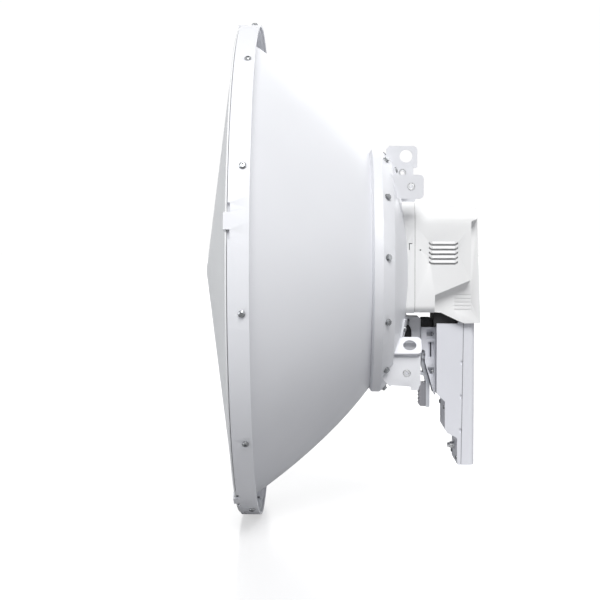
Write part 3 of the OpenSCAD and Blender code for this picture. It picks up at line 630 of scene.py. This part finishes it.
def louvre_hood(z):
    """A small awning over one slot: flush at its top, standing proud at its lower edge."""
    y0, y1 = HOOD_Y
    low, high = z + HOOD_Z[0], z + HOOD_Z[1]
    middle = ((y0 + y1) / 2 * MM, (low + high) / 2 * MM)
    bpy.ops.mesh.primitive_cube_add(
        size=1,
        location=(HOOD_X * MM, *middle),
        scale=(HOOD_THICK * MM, (y1 - y0) * MM, (high - low) * MM),
    )
    hood = bpy.context.active_object
    settle(hood)
    for vertex in hood.data.vertices:
        outer = vertex.co.x > HOOD_X * MM
        if outer and vertex.co.z > middle[1]:
            vertex.co.x = (HOUSE_X - 0.05) * MM
        elif outer:
            vertex.co.y += HOOD_TAPER * MM if vertex.co.y < middle[0] else -HOOD_TAPER * MM
    soft_edges(hood, 0.00035, 3)
    return joined("louvre_hood", [hood, louvre_blade(z)])


def joined(name, parts):
    """Joins the parts into the first of them, under one name."""
    only(parts[0])
    for part in parts:
        part.select_set(True)
    bpy.ops.object.join()
    parts[0].name = name
    parts[0].data.name = name
    return parts[0]


def mirrored(piece):
    """A second copy of a piece on the other side of the plane of symmetry."""
    only(piece)
    bpy.ops.object.duplicate()
    twin = bpy.context.active_object
    twin.data.transform(Matrix.Scale(-1, 4, (1, 0, 0)))
    edit_whole(twin)
    bpy.ops.mesh.normals_make_consistent(inside=False)
    leave_edit()
    return twin


def make_louvre_hoods():
    hoods = [louvre_hood(LOUVRE_TOP_Z - LOUVRE_PITCH * i) for i in range(LOUVRES)]
    right = joined("louvre_hoods", hoods)
    both = joined("louvre_hoods", [right, mirrored(right)])
    return finish_as(both, "cover_plastic", "cover")


def inlaid(name, outline, x, thickness):
    """A flat mark of one outline of y and z, laid in a recess on the housing's side."""
    bpy.ops.mesh.primitive_circle_add(vertices=len(outline), radius=0.01, fill_type="NGON")
    mark = bpy.context.active_object
    mark.name = name
    for vertex, (y, z) in zip(mark.data.vertices, outline):
        vertex.co = (x * MM, y * MM, z * MM)
    edit_whole(mark)
    bpy.ops.mesh.extrude_region_move(TRANSFORM_OT_translate={"value": (thickness * MM, 0, 0)})
    bpy.ops.mesh.select_all(action="SELECT")
    bpy.ops.mesh.normals_make_consistent(inside=False)
    leave_edit()
    soft_edges(mark, 0.00008)
    return mark


def make_marks():
    """The dark corner mark on the base and the dot on the cover that show how the two line up."""
    bracket = [(1.6, 28.2), (2.4, 28.2), (2.4, 36), (5.8, 36), (5.8, 36.8), (1.6, 36.8)]
    turns = [TURN * i / DOT_SIDES for i in range(DOT_SIDES)]
    dot_y, dot_z = DOT_PLACE
    dot = [(dot_y + DOT_R * math.cos(turn), dot_z + DOT_R * math.sin(turn)) for turn in turns]
    for name, outline, x, body in (
        ("corner_mark", bracket, HOUSE_X + 0.16, "dish"),
        ("line_up_dot", dot, HOUSE_X - 0.55, "cover"),
    ):
        mark = inlaid(name, outline, x, MARK_THICK)
        finish_as(joined(name, [mark, mirrored(mark)]), "rubber", body)


# ---- Cables ----

JUMPER_X = 20
JUMPER_Y = 54
JUMPER_TOP_Z = -8
JUMPER_LOW_Z = -52
JUMPER_BOW = 5
JUMPER_R = 2.5
SLEEVE_R = 3.4
SLEEVE_LENGTH = 6
SLEEVE_BEVEL = 0.5
JUMPER_STEPS = 40
ROUND_ANGLE = math.radians(40)


def tube_along(name, route, radius, sides=4):
    """A round tube along a route of points, made a mesh with closed ends."""
    curve = bpy.data.curves.new(name, "CURVE")
    curve.dimensions = "3D"
    curve.bevel_depth = radius
    curve.bevel_resolution = sides
    curve.use_fill_caps = True
    spline = curve.splines.new("POLY")
    spline.points.add(len(route) - 1)
    for point, place in zip(spline.points, route):
        point.co = (*place, 1)
    piece = bpy.data.objects.new(name, curve)
    bpy.context.scene.collection.objects.link(piece)
    only(piece)
    bpy.ops.object.convert(target="MESH")
    piece = bpy.context.active_object
    edit_whole(piece)
    bpy.ops.mesh.remove_doubles(threshold=MADE_WELD)
    bpy.ops.mesh.normals_make_consistent(inside=False)
    leave_edit()
    bpy.ops.object.shade_smooth_by_angle(angle=ROUND_ANGLE)
    return piece


def jumper(side):
    """One coax jumper, bowed outwards, with a short smooth sleeve at each end."""
    length = JUMPER_TOP_Z - JUMPER_LOW_Z
    route = []
    for i in range(JUMPER_STEPS + 1):
        t = i / JUMPER_STEPS
        x = side * (JUMPER_X + JUMPER_BOW * math.sin(math.pi * t) ** 2)
        route.append((x * MM, JUMPER_Y * MM, (JUMPER_LOW_Z + length * t) * MM))
    cable = tube_along("jumper", route, JUMPER_R * MM, 6)
    sleeves = []
    for end in (JUMPER_LOW_Z + 0.1, JUMPER_TOP_Z - 6.1):
        bpy.ops.mesh.primitive_cylinder_add(
            vertices=40, radius=SLEEVE_R * MM, depth=SLEEVE_LENGTH * MM,
            location=(side * JUMPER_X * MM, JUMPER_Y * MM, (end + SLEEVE_LENGTH / 2) * MM),
        )
        sleeve = bpy.context.active_object
        settle(sleeve)
        edit_whole(sleeve)
        bpy.ops.mesh.bevel(offset=SLEEVE_BEVEL * MM, segments=3)
        leave_edit()
        bpy.ops.object.shade_smooth_by_angle(angle=ROUND_ANGLE)
        sleeves.append(sleeve)
    return joined("jumper", [cable, *sleeves])


def make_jumpers():
    """The pair of jumpers, bowed outwards between their two ends."""
    pair = joined("coax_jumper_pair", [jumper(1), jumper(-1)])
    pair.data.materials.clear()
    pair.data.materials.append(FINISHES["rubber"])
    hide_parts("coax_jumpers")
    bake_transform(pair)


# ---- Build ----

# How far each CAD node's edges are rounded, in millimetres
EDGE_ROUND = {
    "rim_band": 0.5,
    "rim_screws": 0.25,
    "hub_ring": 1.0,
    "ring_bolts": 0.3,
    "hub_dome": 0.4,
    "hoist_lug": 0.5,
    "upper_lug_right": 0.5,
    "upper_lug_left": 0.5,
    "lower_lug_right": 0.5,
    "lower_lug_left": 0.5,
    "lug_plate_right": 0.5,
    "lug_plate_left": 0.5,
    "lug_nuts": 0.25,
    "lug_screws": 0.25,
    "mount_pillar": 0.8,
    "pillar_screws": 0.25,
    "pillar_grommet": 0.4,
    "housing_base": 0.3,
    "housing_cover": 0.45,
    "duplexer_right": 0.5,
    "duplexer_left": 0.5,
    "duplexer_bracket": 0.3,
    "duplexer_plugs": 0.2,
    "radio_front_shell": 0.5,
    "radio_rear_shell": 0.6,
    "rf_connectors": 0.2,
    "timing_connector": 0.2,
    "data_jacks": 0.15,
    "rf_boot": 0.8,
    "radio_plugs": 0.2,
    "radio_carriage": 0.5,
    "bump_stop": 0.6,
    "ground_screw": 0.25,
    "ground_washer": 0.2,
    "case_screws": 0.2,
    "latch_pin": 0.2,
    "release_latch": 0.35,
    "latch_grip": 0.35,
    "reset_button": 0.2,
    "feed_flange": 0.4,
    "feed_tube": 0.2,
    "feed_transducer": 0.4,
    "dielectric_cone": 0.3,
    "sub_reflector": 0.2,
    "feed_ports": 0.2,
    "feed_links": 0,
    "feed_screws": 0.2,
    "base_screws": 0.2,
    "bracket_screws": 0.2,
    "carriage_screws": 0.2,
    "housing_seal": 0,
    "radio_gasket": 0,
    "radio_board": 0.1,
    "shield_cans": 0.2,
    "heat_spreader": 0.2,
    "latch_spring": 0,
}

for node, item in frame["nodes"].items():
    item.data.materials.clear()
    item.data.materials.append(FINISHES[SLOT_OF[node]])

bpy.ops.object.select_all(action="DESELECT")
add_camera()
studio_light()
white_surround()
add_floor()

for node, width in EDGE_ROUND.items():
    dressed(node, width * MM)
make_reflector()
make_radome()
make_louvre_hoods()
make_marks()
make_jumpers()
